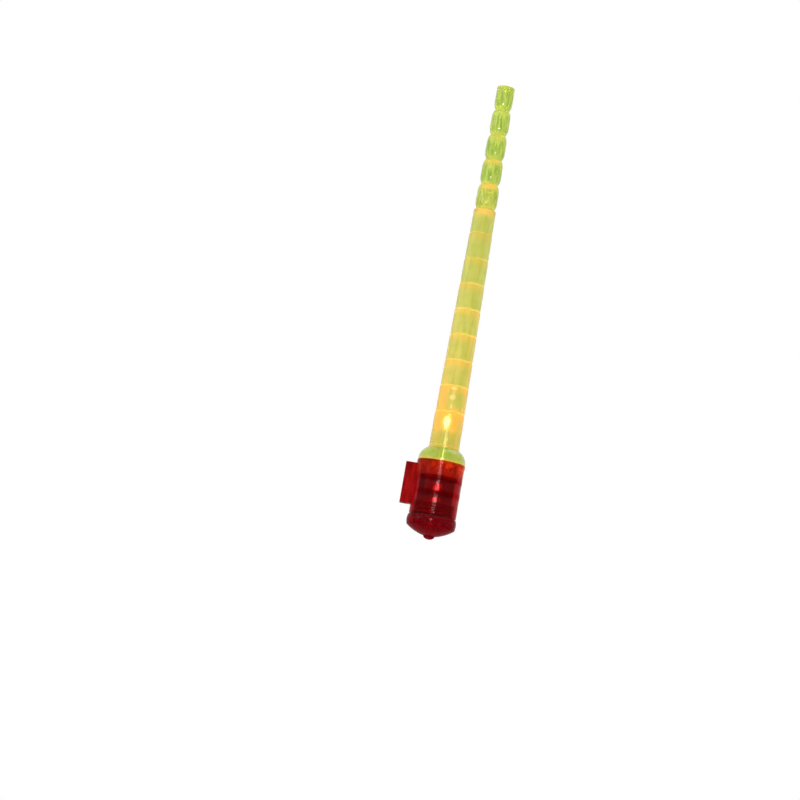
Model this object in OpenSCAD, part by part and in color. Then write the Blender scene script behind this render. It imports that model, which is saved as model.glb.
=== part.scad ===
// Spoke light: a clip-on light stick for a bicycle wheel, in millimetres.
// The origin is on the axis of the spoke in its clip, halfway along the clip.
// +Z runs along the spoke to the tip of the stick. The housing lies beside the clip, towards +X.

/* [Spoke clip] */
// Diameter of the spoke that the clip grips
spoke_d = 2.0; // [1.8:0.1:2.4]
// Length of the clip along the spoke
clip_len = 14.5; // [10:0.5:16]
// Thickness of each jaw beside the spoke
jaw_t = 1.2; // [0.9:0.1:1.8]
// Width of the mouth that the spoke snaps through
mouth_w = 1.3; // [1:0.1:1.6]
// How far the jaws reach beyond the spoke, as a lead-in
lead_in = 0.6; // [0.3:0.05:0.8]
// How much each jaw flares to its end in the mouth
mouth_flare = 0.55; // [0.3:0.05:0.7]
// Plastic between the spoke and the outside of the housing
clip_web = 1.25; // [1:0.05:3]
// Distance from the top of the housing down to the clip
clip_drop = 1.9; // [1.8:0.1:3]

/* [Button cells] */
// Diameter of a button cell
cell_d = 11.6; // [9.5:0.1:12.5]
// Height of a button cell
cell_h = 5.4; // [4.2:0.1:5.6]
// Height of the rounded corners of a cell's can
cell_round = 0.5; // [0.3:0.05:0.7]
// Width of the plastic seal ring of a cell
cell_seal_w = 0.4; // [0.3:0.05:0.6]
// Width of the crimped rim outside that ring
cell_crimp_w = 0.8; // [0.7:0.05:1]
// Depth of the seal ring and of the negative cap
cell_seal_h = 0.8; // [0.6:0.05:1.2]
// How far the negative cap stands above the crimped rim
cell_cap_rise = 0.25; // [0.15:0.05:0.4]
// Space round the cells
cell_clear = 0.2; // [0.15:0.05:0.4]

/* [Battery housing] */
// Wall outside the thread of the end cap
end_wall = 1.2; // [0.9:0.05:1.5]
// How far the housing reaches below the cells
cell_cover = 1.4; // [1.2:0.1:2.5]
// Width of the step under the lip of the stick
rebate_w = 0.7; // [0.5:0.05:0.8]
// How far the rim round the top stands out
rim_w = 0.15; // [0.1:0.05:0.3]
// Height of that rim
rim_h = 1.4; // [0.8:0.1:1.4]
// Width of the ledge that carries the circuit board
ledge_w = 0.55; // [0.5:0.05:0.7]
// Bevel on the bottom edge
housing_bevel = 0.2; // [0.1:0.05:0.3]

/* [Light stick] */
// Number of solid beads at the tip
bead_count = 5; // [3:1:7]
// Number of shoulder rings on the hollow tube
ring_count = 8; // [5:1:10]
// Height of the tip of the stick above the housing
stick_h = 138.4; // [122:0.1:160]
// Length of the lowest stretch of the tube
neck_len = 12.35; // [10:0.05:16]
// Diameter of the bead at the tip
tip_d = 6.6; // [5.8:0.1:7.2]
// Diameter of the lowest bead
bead_d = 7.9; // [7.2:0.1:8.4]
// Diameter of the tube under the beads
tube_top_d = 8.1; // [7.4:0.1:8.8]
// Diameter of the tube at its foot
neck_d = 10.7; // [10:0.1:11.4]
// Depth of the notches between the beads
notch_depth = 0.85; // [0.5:0.05:1]
// Height of the round shoulder of a bead
bead_shoulder = 2.9; // [1.5:0.1:3.5]
// Height of the undercut below a bead
bead_undercut = 2.0; // [1:0.1:2.6]
// Depth of the grooves at the rings
ring_depth = 0.35; // [0.2:0.05:0.5]
// Height of the round shoulder of a ring
ring_shoulder = 0.5; // [0.3:0.05:0.9]
// Height of the undercut above a groove
ring_undercut = 0.15; // [0.1:0.05:0.3]
// How much a segment narrows towards its top, on the radius
seg_taper = 0.06; // [0.02:0.01:0.12]
// Width of the round edge at the tip
tip_round = 0.3; // [0.2:0.05:0.8]
// How much shorter the bead at the tip is than the others
tip_trim = 0.5; // [0:0.1:1]
// Height of the skirt above the housing
skirt_h = 5.0; // [4.4:0.1:7]
// Height of the collar between the skirt and the tube
collar_h = 0.5; // [0.4:0.05:1]
// How far the collar stands out from the tube
collar_w = 0.35; // [0.1:0.05:0.4]
// How far the skirt bulges from a straight cone
skirt_bulge = 0.6; // [0.3:0.05:0.9]
// Thickness of the lip round the top of the housing
lip_t = 0.7; // [0.6:0.05:1]
// How far the lip reaches down over the housing
lip_drop = 0.3; // [0.2:0.05:0.5]
// Height of the lip above the top of the housing
lip_rise = 0.4; // [0.3:0.05:0.8]
// Length of the spigot inside the housing
stick_spigot_h = 5.4; // [4.6:0.1:6.4]
// Wall of that spigot
stick_spigot_wall = 1.15; // [0.9:0.05:1.3]
// Diameter of the hollow at its closed end
bore_tip_d = 4.0; // [3.2:0.1:4.6]
// Plastic between the hollow and the lowest bead
bore_stop = 1.7; // [1:0.1:4]
// Height of the straight part of the hollow inside the skirt
cavity_h = 1.6; // [1.2:0.1:2.4]
// Height of the foot of the tapered hollow
bore_foot_h = 4.4; // [4:0.1:6]

/* [Lamp and circuit] */
// Diameter of the lamp
led_d = 5.0; // [4.5:0.1:5.4]
// Height of the lamp from its flange to its top
led_h = 8.6; // [7.6:0.1:9.6]
// Width of the flange round the foot of the lamp
led_flange_w = 0.4; // [0.3:0.05:0.5]
// Height of that flange
led_flange_h = 1.0; // [0.8:0.1:1.4]
// Space round the flange inside the stick
led_clear = 0.5; // [0.3:0.05:0.7]
// Length of the lamp's leads above the board
lead_h = 13.8; // [12:0.1:18]
// Thickness of a lead
lead_w = 0.5; // [0.4:0.05:0.6]
// Distance between the two leads
lead_gap = 2.54; // [2.3:0.02:2.8]
// Length of a lead below the board
lead_tail = 0.5; // [0.3:0.05:0.6]
// Radius of the solder round a lead
solder_r = 0.7; // [0.6:0.05:0.8]
// Thickness of the circuit board
board_t = 1.0; // [0.8:0.1:1.6]
// Diameter of the motion switch
switch_d = 3.0; // [2.4:0.1:3.2]
// Height of the motion switch
switch_h = 6.0; // [5:0.1:6.6]
// Height of the switch's base
switch_base_h = 1.0; // [0.8:0.1:1.4]
// Wall of the switch's can
switch_wall = 0.25; // [0.2:0.05:0.35]
// Radius of the flasher chip's drop of resin
chip_r = 1.7; // [1.2:0.1:1.8]
// Height of that drop
chip_h = 1.0; // [0.6:0.1:1.2]
// Length of a chip resistor
resistor_len = 1.6; // [1.2:0.1:2]
// Width of a chip resistor
resistor_w = 0.8; // [0.5:0.05:1]
// Height of a chip resistor
resistor_h = 0.45; // [0.3:0.05:0.6]

/* [Contacts] */
// Thickness of the contact metal
contact_t = 0.25; // [0.2:0.05:0.3]
// Space between the board and the upper cell
contact_h = 0.9; // [0.7:0.05:1.4]
// Width of the contact ring under the board
contact_ring_w = 2.0; // [1.6:0.1:2.4]
// Width of the strip beside the cells
strip_w = 2.0; // [1.4:0.1:2.6]
// Thickness of the strip
strip_t = 0.3; // [0.2:0.05:0.35]
// Direction of the strip, seen from the tip
strip_angle = 206; // [200:1:340]
// Diameter of the spring's wire
spring_wire = 0.5; // [0.4:0.05:0.6]
// Working height of the spring
spring_h = 4.6; // [4.2:0.1:6]
// Radius of the lowest turn
spring_r = 4.6; // [4:0.1:5]
// Radius of the top turn
spring_top_r = 2.4; // [1.8:0.1:2.8]
// Number of turns
spring_turns = 4; // [3:1:4]

/* [End cap] */
// Rise of the thread in one turn
thread_pitch = 1.0; // [0.9:0.05:1.3]
// Depth of the thread
thread_depth = 0.3; // [0.2:0.05:0.35]
// Space between the two threads
thread_clear = 0.1; // [0.08:0.01:0.14]
// Wall of the threaded spigot
cap_spigot_wall = 0.45; // [0.4:0.05:0.8]
// Length of the spigot inside the housing
cap_spigot_h = 4.45; // [4:0.05:5.5]
// Length over which the thread fades out
thread_runout = 0.5; // [0.3:0.05:0.8]
// Step at the top of the spigot, above the thread
thread_lead = 0.15; // [0.1:0.05:0.3]
// How far the lip of the cap stands out from the housing
cap_lip_w = 0.1; // [0.05:0.05:0.4]
// How far the lip bulges between its edges
cap_lip_bulge = 0.3; // [0.2:0.05:0.6]
// Plastic under the contact cup, above the cone
cap_floor_t = 0.45; // [0.3:0.05:1]
// Height of the cone
cone_h = 3.05; // [2.4:0.05:4]
// How far the cone bulges
cone_bulge = 0.4; // [0.1:0.05:0.6]
// Diameter of the nub
nub_d = 4.0; // [3.2:0.05:4.8]
// Height of the nub
nub_h = 1.2; // [0.8:0.1:1.8]
// Thickness of the sealing ring
o_ring_d = 1.0; // [0.8:0.05:1.1]
// Gap at the sealing ring between the cap and the housing
seal_gap = 0.3; // [0.2:0.05:0.4]

/* [Hidden] */

$fn = 64;
// Clearance of parts that are pushed together
fit = 0.05;
// Clearance of parts that touch and move
touch = 0.02;
// Extra length of a cut past the face that it opens
past = 0.3;
// Steps in a drawn arc
arc_steps = 8;
// Steps round one turn of the thread and rows along its pitch
thread_steps = 32;
thread_rows = 8;
// Rings in one turn of the spring and sides of its wire
curl_rings = 8;
wire_sides = 6;
// Clear headroom over the contact cup
cup_gap = 0.1;
// Radial clearance of the switch's ball
ball_clear = 0.1;
// Clearance of the parts on the board from the wall of the stick
wall_clear = 0.2;
// Clearance of the contact ring from the solder
solder_clear = 0.25;
// Depth of the clip's root in the wall of the housing
clip_root = 0.5;
// Cells in the stack, one upper and one lower
cell_count = 2;

spoke_r = spoke_d / 2;
cell_r = cell_d / 2;
cell_bore_r = cell_r + cell_clear;
cup_r = cell_bore_r + contact_t;
cap_bore_r = cup_r + fit;
spigot_core_r = cap_bore_r + cap_spigot_wall / 2;
thread_core_r = cap_bore_r + cap_spigot_wall;
thread_crest_r = thread_core_r + thread_depth;
housing_end_bore_r = thread_core_r + thread_clear;
groove_r = thread_crest_r + thread_clear;
housing_r = groove_r + end_wall;
board_bore_r = cell_bore_r + ledge_w;
axis_x = spoke_r + clip_web + housing_r;
top_z = clip_len / 2 + clip_drop;

// Heights below are measured from the top of the housing
board_top = -stick_spigot_h;
board_bottom = board_top - board_t;
cells_top = board_bottom - contact_h;
cells_bottom = cells_top - cell_count * cell_h;
housing_bottom = cells_bottom - cell_cover;
cap_spigot_top = housing_bottom + cap_spigot_h;
cup_top = cap_spigot_top + contact_t;
thread_step_z = cup_top + cup_gap;
cup_floor = cells_bottom - spring_h;
cap_floor = cup_floor - contact_t;
cap_lip_top = housing_bottom - seal_gap;
cap_lip_bottom = cap_floor - cap_floor_t;
nub_top = cap_lip_bottom - cone_h;
nub_bottom = nub_top - nub_h;

rebate_r = housing_r - rebate_w;
lip_inner_r = rebate_r + fit;
lip_r = lip_inner_r + lip_t;
stick_spigot_r = board_bore_r - fit;
cavity_r = stick_spigot_r - stick_spigot_wall;
led_r = led_d / 2;
led_flange_r = led_r + led_flange_w;
led_bottom = board_top + lead_h;
bore_foot_r = led_flange_r + led_clear;
bore_tip_r = bore_tip_d / 2;
// Distance from one bead or ring to the next
seg_pitch = (stick_h + tip_trim - skirt_h - neck_len) / (ring_count + bead_count);
beads_z = stick_h + tip_trim - bead_count * seg_pitch;
bore_top = beads_z - bore_stop;

switch_r = switch_d / 2;
switch_x = cavity_r - wall_clear - switch_r;
chip_x = wall_clear + chip_r - cavity_r;
// The outer corners of the resistors keep that clearance
resistor_y = sqrt(pow(cavity_r - wall_clear, 2) - pow(resistor_len / 2, 2)) - resistor_w / 2;
ball_r = switch_r - switch_wall - ball_clear;
ball_travel = switch_h - switch_base_h - switch_wall - 2 * ball_r - 2 * touch;
lead_hole_r = lead_w / sqrt(2) + fit;
strip_r = cell_bore_r + fit;
strip_arc = strip_w / strip_r * 180 / PI;
strip_slack = 2 * fit / strip_r * 180 / PI;
o_ring_r = thread_core_r + thread_clear + o_ring_d / 2;
o_ring_z = housing_bottom - touch - o_ring_d / 2;
seal_seat_r = o_ring_r + o_ring_d / 2 + thread_clear;
seal_seat_z = o_ring_z - o_ring_d / 2 - touch;
cap_lip_r = max(housing_r + cap_lip_w, seal_seat_r + cap_lip_w);
nub_r = nub_d / 2;

echo(ball_travel = ball_travel, cap_travel_for_a_turn = thread_pitch);

// Places the children on the axis of the housing, from its top face
module on_axis() {
  translate([axis_x, 0, top_z]) children();
}

// Points of a quarter of an ellipse, from an upright side to a level end
function shoulder(r_side, r_end, z_side, z_end) = [
  for (i = [0:arc_steps])
    let (a = 90 * i / arc_steps)
    [r_end + (r_side - r_end) * cos(a), z_side + (z_end - z_side) * sin(a)]
];

function reversed(points) = [for (i = [len(points) - 1:-1:0]) points[i]];

// Points of an arc from p to q that bulges to the left of the way from p to q
function bulged(p, q, bulge) =
  let (
    chord = q - p,
    half = norm(chord) / 2,
    radius = (half * half + bulge * bulge) / (2 * bulge),
    left = [-chord[1], chord[0]] / norm(chord),
    centre = (p + q) / 2 - left * (radius - bulge),
    start = atan2(p[1] - centre[1], p[0] - centre[0]),
    sweep = -2 * asin(half / radius)
  )
  [for (i = [0:arc_steps])
    let (a = start + sweep * i / arc_steps)
    centre + radius * [cos(a), sin(a)]];

// Segments of the stick are counted from the skirt to the tip
seg_count = ring_count + 1 + bead_count;
function is_bead(k) = k > ring_count;
function seg_z(k) = min(stick_h, skirt_h + (k == 0 ? 0 : neck_len + (k - 1) * seg_pitch));
function seg_r(k) = is_bead(k)
  ? (bead_d + (tip_d - bead_d) * (k - ring_count - 1) / (bead_count - 1)) / 2
  : (neck_d + (tube_top_d - neck_d) * k / ring_count) / 2;
function seg_foot_r(k) = k == seg_count
  ? tip_d / 2 - tip_round
  : seg_r(k) - (is_bead(k) ? notch_depth : ring_depth);
function seg_outline(k) =
  let (
    z = seg_z(k),
    z_next = seg_z(k + 1),
    undercut = is_bead(k) ? bead_undercut : ring_undercut,
    round_h = k == seg_count - 1 ? tip_round : is_bead(k) ? bead_shoulder : ring_shoulder
  )
  concat(
    [[seg_foot_r(k), z], [seg_r(k), z + undercut]],
    [for (p = shoulder(seg_r(k) - seg_taper, seg_foot_r(k + 1), z_next - round_h, z_next))
      if (p[1] < z_next - touch) p]
  );

stick_collar_r = neck_d / 2 + collar_w;
stick_outline = concat(
  [
    [cavity_r, -stick_spigot_h],
    [stick_spigot_r, -stick_spigot_h],
    [stick_spigot_r, 0],
    [lip_inner_r, 0],
    [lip_inner_r, -lip_drop],
    [lip_r, -lip_drop]
  ],
  reversed(bulged([stick_collar_r, skirt_h - collar_h], [lip_r, lip_rise], skirt_bulge)),
  [[stick_collar_r, skirt_h - ring_undercut]],
  [for (k = [0:seg_count - 1]) each seg_outline(k)],
  [[seg_foot_r(seg_count), stick_h], [0, stick_h]],
  reversed(shoulder(bore_tip_r, 0, bore_top - bore_tip_r, bore_top)),
  [[bore_foot_r, bore_foot_h], [cavity_r, cavity_h]]
);

// Faces between rings of points and across the two ends, all triangles
function tube_faces(rings, sides) = concat(
  [for (i = [0:rings - 2], j = [0:sides - 1])
    let (k = (j + 1) % sides)
    each [
      [i * sides + j, (i + 1) * sides + j, (i + 1) * sides + k],
      [i * sides + j, (i + 1) * sides + k, i * sides + k]
    ]],
  [for (j = [1:sides - 2]) [0, j, j + 1]],
  [for (j = [1:sides - 2]) let (e = (rings - 1) * sides) [e, e + j + 1, e + j]]
);

// Faces between rings of points that close on themselves, all triangles
function loop_faces(rings, sides) = [
  for (i = [0:rings - 1], j = [0:sides - 1])
    let (next = (i + 1) % rings, k = (j + 1) % sides)
    each [
      [i * sides + j, next * sides + j, next * sides + k],
      [i * sides + j, next * sides + k, i * sides + k]
    ]
];

// Radius of a right-hand thread that fades out at its two ends
function thread_r(turn, z, base_r, thread_low, thread_high) =
  let (
    wave = (1 + cos(360 * (z / thread_pitch - turn))) / 2,
    ends = min(z - thread_low, thread_high - z) / thread_runout
  )
  base_r + thread_depth * wave * min(1, max(0, ends));

// Tube with the thread on its outside
module threaded_tube(inner_r, base_r, z_low, z_high, thread_low, thread_high) {
  rows = ceil((z_high - z_low) / thread_pitch * thread_rows);
  points = [for (i = [0:thread_steps - 1])
    let (turn = i / thread_steps)
    each [for (p = concat(
        [[inner_r, z_low], [inner_r, z_high]],
        [for (j = [rows:-1:0])
          let (z = z_low + (z_high - z_low) * j / rows)
          [thread_r(turn, z, base_r, thread_low, thread_high), z]]
      ))
      [p[0] * cos(360 * turn), p[0] * sin(360 * turn), p[1]]]];
  polyhedron(points, loop_faces(thread_steps, rows + 3));
}

module light_stick() {
  color("greenyellow") on_axis()
    rotate_extrude() polygon(stick_outline);
}

// Section of the clip: a round grip on a web, cut open on its outer side
module clip_section() {
  reach = spoke_r + lead_in;
  throat_x = sqrt(pow(spoke_r, 2) - pow(mouth_w / 2, 2));
  jaw_r = spoke_r + jaw_t;
  half_mouth = mouth_w / 2;
  cut_flare = mouth_flare * (reach + past - throat_x) / (reach - throat_x);
  difference() {
    union() {
      circle(r = jaw_r);
      translate([0, -jaw_r]) square([axis_x - housing_r + clip_root, 2 * jaw_r]);
    }
    circle(r = spoke_r);
    translate([-reach - jaw_r, -jaw_r - past]) square([jaw_r, 2 * (jaw_r + past)]);
    polygon([
      [0, -half_mouth],
      [-throat_x, -half_mouth],
      [-reach - past, -half_mouth - cut_flare],
      [-reach - past, half_mouth + cut_flare],
      [-throat_x, half_mouth],
      [0, half_mouth]
    ]);
  }
}

module battery_housing() {
  color("crimson") difference() {
    union() {
      on_axis() rotate_extrude() polygon([
        [board_bore_r, 0],
        [rebate_r, 0],
        [rebate_r, -lip_drop - fit],
        [housing_r + rim_w, -lip_drop - fit],
        [housing_r + rim_w, rim_w - lip_drop - fit - rim_h],
        [housing_r, -lip_drop - fit - rim_h],
        [housing_r, housing_bottom + housing_bevel],
        [housing_r - housing_bevel, housing_bottom],
        [cell_bore_r, housing_bottom],
        [cell_bore_r, board_bottom],
        [board_bore_r, board_bottom]
      ]);
      translate([0, 0, -clip_len / 2]) linear_extrude(clip_len) clip_section();
    }
    on_axis() rotate([0, 0, strip_angle - strip_arc / 2 - strip_slack / 2])
      rotate_extrude(angle = strip_arc + strip_slack) polygon([
        [cell_bore_r - past, thread_step_z - past],
        [strip_r + strip_t + fit, thread_step_z - past],
        [strip_r + strip_t + fit, board_bottom + past],
        [cell_bore_r - past, board_bottom + past]
      ]);
    on_axis() threaded_tube(cell_bore_r - past, housing_end_bore_r, housing_bottom - past,
      thread_step_z, housing_bottom - thread_pitch, thread_step_z);
  }
}

module end_cap() {
  color("firebrick") on_axis() union() {
    rotate_extrude() polygon(concat(
      [
        [0, cap_floor],
        [cap_bore_r, cap_floor],
        [cap_bore_r, cap_spigot_top],
        [spigot_core_r, cap_spigot_top],
        [spigot_core_r, seal_seat_z],
        [seal_seat_r, seal_seat_z],
        [seal_seat_r, cap_lip_top]
      ],
      bulged([cap_lip_r, cap_lip_top], [cap_lip_r, cap_lip_bottom], cap_lip_bulge),
      [for (p = bulged([cap_lip_r, cap_lip_bottom], [nub_r, nub_top], cone_bulge))
        if (p[0] < cap_lip_r - touch && p[0] > nub_r + touch) p],
      shoulder(nub_r, 0, nub_top, nub_bottom)
    ));
    threaded_tube((cap_bore_r + spigot_core_r) / 2, thread_core_r, seal_seat_z - past,
      cap_spigot_top - thread_lead, housing_bottom, cap_spigot_top - thread_lead);
  }
}

module cap_o_ring() {
  color("black") on_axis()
    translate([0, 0, o_ring_z]) rotate_extrude() translate([o_ring_r, 0]) circle(d = o_ring_d);
}

module led_lens() {
  color("orange") on_axis() translate([0, 0, led_bottom]) rotate_extrude() polygon(concat(
    [[0, 0], [led_flange_r, 0], [led_flange_r, led_flange_h], [led_r, led_flange_h]],
    shoulder(led_r, 0, led_h - led_r, led_h)
  ));
}

// One lead of the lamp, on its side of the axis
module lead(side) {
  translate([-lead_w / 2, side * lead_gap / 2 - lead_w / 2, board_bottom - lead_tail])
    cube([lead_w, lead_w, lead_tail + board_t + lead_h]);
}

module led_leads() {
  color("silver") on_axis()
    for (side = [-1, 1]) lead(side);
}

module solder_joints() {
  color("lightgray") on_axis() for (side = [-1, 1])
    difference() {
      translate([0, side * lead_gap / 2, board_bottom - lead_tail])
        cylinder(r1 = lead_hole_r, r2 = solder_r, h = lead_tail);
      lead(side);
    }
}

module circuit_board() {
  color("darkgreen") on_axis() difference() {
    translate([0, 0, board_bottom]) cylinder(r = board_bore_r - 2 * fit, h = board_t);
    for (side = [-1, 1])
      translate([0, side * lead_gap / 2, board_bottom - past])
        cylinder(r = lead_hole_r, h = board_t + 2 * past);
  }
}

module flasher_chip() {
  dome_r = (chip_r * chip_r + chip_h * chip_h) / (2 * chip_h);
  color("dimgray") on_axis() translate([chip_x, 0, board_top]) intersection() {
    translate([0, 0, chip_h - dome_r]) sphere(r = dome_r);
    cylinder(r = chip_r + past, h = chip_h + past);
  }
}

module resistors() {
  color("black") on_axis() for (side = [-1, 1])
    translate([-resistor_len / 2, side * resistor_y - resistor_w / 2, board_top])
      cube([resistor_len, resistor_w, resistor_h]);
}

module motion_switch_base() {
  color("dimgray") on_axis()
    translate([switch_x, 0, board_top]) cylinder(r = switch_r, h = switch_base_h);
}

module motion_switch_can() {
  color("silver") on_axis() translate([switch_x, 0, board_top + switch_base_h]) difference() {
    cylinder(r = switch_r, h = switch_h - switch_base_h);
    translate([0, 0, -past])
      cylinder(r = switch_r - switch_wall, h = switch_h - switch_base_h - switch_wall + past);
  }
}

module motion_switch_ball() {
  color("gold") on_axis()
    translate([switch_x, 0, board_top + switch_base_h + touch + ball_r]) sphere(r = ball_r);
}

// Pressed ring: a brim on the board and a lower lip on the cell
module board_contact() {
  inner = lead_gap / 2 + solder_r + solder_clear;
  outer = inner + contact_ring_w;
  bend = contact_ring_w / 4;
  color("goldenrod") on_axis() rotate_extrude() polygon([
    [outer, board_bottom],
    [inner + 2 * bend - contact_t, board_bottom],
    [inner + bend - contact_t, cells_top + contact_t],
    [inner, cells_top + contact_t],
    [inner, cells_top],
    [inner + bend, cells_top],
    [inner + 2 * bend, board_bottom - contact_t],
    [outer, board_bottom - contact_t]
  ]);
}

module contact_strip() {
  color("goldenrod") on_axis() rotate([0, 0, strip_angle - strip_arc / 2])
    rotate_extrude(angle = strip_arc) polygon([
      [strip_r, cup_top + touch],
      [strip_r + strip_t, cup_top + touch],
      [strip_r + strip_t, board_bottom],
      [strip_r, board_bottom]
    ]);
}

module contact_cup() {
  color("goldenrod") on_axis() rotate_extrude() polygon([
    [0, cap_floor],
    [cup_r, cap_floor],
    [cup_r, cap_spigot_top],
    [thread_core_r - fit, cap_spigot_top],
    [thread_core_r - fit, cup_top],
    [cell_bore_r, cup_top],
    [cell_bore_r, cup_floor],
    [0, cup_floor]
  ]);
}

// Path of the spring's wire, with a straight upright end on the cup and on the cell
spring_steps = spring_turns * curl_rings;
spring_path = concat(
  [[spring_r, 0, cup_floor]],
  [for (i = [0:spring_steps])
    let (a = 360 * i / curl_rings, r = spring_r + (spring_top_r - spring_r) * i / spring_steps)
    [r * cos(a), r * sin(a),
      cup_floor + spring_wire + (spring_h - 2 * spring_wire) * i / spring_steps]],
  [[spring_top_r * cos(360 * spring_turns), spring_top_r * sin(360 * spring_turns),
    cells_bottom - touch]]
);
spring_last = len(spring_path) - 1;
spring_gaps = [for (i = [0:spring_last], j = [i + curl_rings / 2:spring_last])
  norm(spring_path[i] - spring_path[j]) - spring_wire];
echo(least_gap_between_the_turns_of_the_spring = min(spring_gaps));

function unit(v) = v / norm(v);

// Ring of the wire at point i, square to the path there
function wire_ring(i) =
  let (
    here = spring_path[i],
    ahead = unit(spring_path[min(i + 1, spring_last)] - spring_path[max(i - 1, 0)]),
    out = unit([here[0], here[1], 0]),
    u = unit(out - ahead * (out * ahead)),
    v = cross(ahead, u)
  )
  [for (j = [0:wire_sides - 1])
    let (a = 360 * j / wire_sides)
    here + spring_wire / 2 * (cos(a) * u + sin(a) * v)];

module contact_spring() {
  color("silver") on_axis() polyhedron(
    [for (i = [0:spring_last]) each wire_ring(i)],
    tube_faces(spring_last + 1, wire_sides)
  );
}

// Height of the top of a cell in the stack, counted from the board
function cell_z(place) = cells_top - place * cell_h;
cell_cap_r = cell_r - cell_crimp_w - cell_seal_w;
cell_seal_r = cell_r - cell_crimp_w;

module cell_can(place) {
  color("lightsteelblue") on_axis() translate([0, 0, cell_z(place)]) rotate_extrude() polygon(concat(
    [[0, -cell_h]],
    reversed(shoulder(cell_r, cell_r - cell_round, cell_round - cell_h, -cell_h)),
    shoulder(cell_r, cell_r - cell_round, -cell_cap_rise - cell_round, -cell_cap_rise),
    [[cell_seal_r, -cell_cap_rise], [cell_seal_r, -cell_seal_h], [0, -cell_seal_h]]
  ));
}

module cell_seal(place) {
  color("darkslategray") on_axis() translate([0, 0, cell_z(place)]) rotate_extrude()
    translate([cell_cap_r, -cell_seal_h]) square([cell_seal_w, cell_seal_h - cell_cap_rise]);
}

module cell_cap(place) {
  edge = cell_cap_rise;
  color("silver") on_axis() translate([0, 0, cell_z(place)]) rotate_extrude() polygon(concat(
    [[0, -cell_seal_h], [cell_cap_r, -cell_seal_h]],
    shoulder(cell_cap_r, cell_cap_r - edge, -edge, 0),
    [[0, 0]]
  ));
}

light_stick();
battery_housing();
end_cap();
cap_o_ring();
led_lens();
led_leads();
solder_joints();
circuit_board();
flasher_chip();
resistors();
motion_switch_base();
motion_switch_can();
motion_switch_ball();
board_contact();
contact_strip();
contact_cup();
contact_spring();
cell_can(0);  // upper_cell_can
cell_seal(0);  // upper_cell_seal
cell_cap(0);  // upper_cell_cap
cell_can(1);  // lower_cell_can
cell_seal(1);  // lower_cell_seal
cell_cap(1);  // lower_cell_cap
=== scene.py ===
"""Looks of the clip-on light: a glowing stick on a clear red housing with a clip on its side.

Sizes, outlines and patterns are in millimetres, with radii from the axis of the housing and heights
from its top. Objects, camera and lights are in metres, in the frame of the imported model.
"""

import math

import bpy
from mathutils import Matrix, Vector


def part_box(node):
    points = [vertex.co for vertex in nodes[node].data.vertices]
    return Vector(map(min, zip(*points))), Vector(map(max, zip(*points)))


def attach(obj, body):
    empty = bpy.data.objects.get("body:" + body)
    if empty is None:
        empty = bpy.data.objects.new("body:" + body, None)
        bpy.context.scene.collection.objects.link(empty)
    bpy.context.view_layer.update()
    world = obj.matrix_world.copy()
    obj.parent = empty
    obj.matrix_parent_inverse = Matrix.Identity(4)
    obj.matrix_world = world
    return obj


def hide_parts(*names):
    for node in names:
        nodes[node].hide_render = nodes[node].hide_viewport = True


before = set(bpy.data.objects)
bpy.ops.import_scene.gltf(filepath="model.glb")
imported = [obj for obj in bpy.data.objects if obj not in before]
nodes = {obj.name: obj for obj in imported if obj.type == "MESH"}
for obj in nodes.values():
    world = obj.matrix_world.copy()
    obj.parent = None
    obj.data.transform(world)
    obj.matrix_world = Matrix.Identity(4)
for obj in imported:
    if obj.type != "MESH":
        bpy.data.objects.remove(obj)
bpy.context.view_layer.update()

MM = 0.001
HOUSING_LOW, HOUSING_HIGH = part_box("battery_housing")
STICK_LOW, STICK_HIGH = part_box("light_stick")
BOARD_LOW, BOARD_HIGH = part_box("circuit_board")
STRIP_LOW, STRIP_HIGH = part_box("contact_strip")
CAP_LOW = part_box("end_cap")[0]
AXIS_X = (STICK_LOW.x + STICK_HIGH.x) / 2
TOP_Z = HOUSING_HIGH.z

# Modelling: steps of a full turn, gap that closes, sharpest smooth edge, and how corners are eased
TURN_STEPS = 96
WELD = 1e-6
SOFT_EDGE = math.radians(32)
HOLD, EASE_SHARE = 1.2, 0.4
ON_WALL, OFF_WALL = 0.01, 0.05

# The stick, from its spigot to its tip
SPIGOT_R, CAVITY_R, SPIGOT_H = 6.5, 5.35, 5.4
LIP_IN_R, LIP_R, LIP_DROP, LIP_RISE = 7.7, 8.4, 0.3, 0.4
SKIRT_H, SKIRT_BULGE = 5.0, 0.6
COLLAR_R, COLLAR_Z, COLLAR_EDGE = 5.7, 4.5, 0.15
NECK_LEN = 12.35
RINGS, BEADS = 8, 5
STICK_H = (STICK_HIGH.z - TOP_Z) / MM
TIP_TRIM, TIP_ROUND = 0.5, 0.3
PITCH = (STICK_H + TIP_TRIM - SKIRT_H - NECK_LEN) / (RINGS + BEADS)
FIRST_RING = SKIRT_H + NECK_LEN
TUBE_TOP = FIRST_RING + RINGS * PITCH
NECK_R, TUBE_TOP_R = 5.35, 4.05
BEAD_R, TIP_R = 3.95, 3.3
BORE_TOP, BORE_TIP_R = TUBE_TOP - 1.7, 2.0
BORE_FOOT, CAVITY_TOP, BORE_EASE = (3.4, 4.4), 1.6, 0.5

# Each ring and bead: depth of its groove, height of its foot and of its rounded head
RING_GROOVE, RING_FOOT, RING_HEAD = 0.35, 0.15, 0.5
BEAD_GROOVE, BEAD_FOOT, BEAD_HEAD = 0.85, 2.0, 2.9
DRAFT, GROOVE_EASE, FOOT_EASE, HEAD_GAP = 0.06, 0.08, 0.7, 0.02

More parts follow.
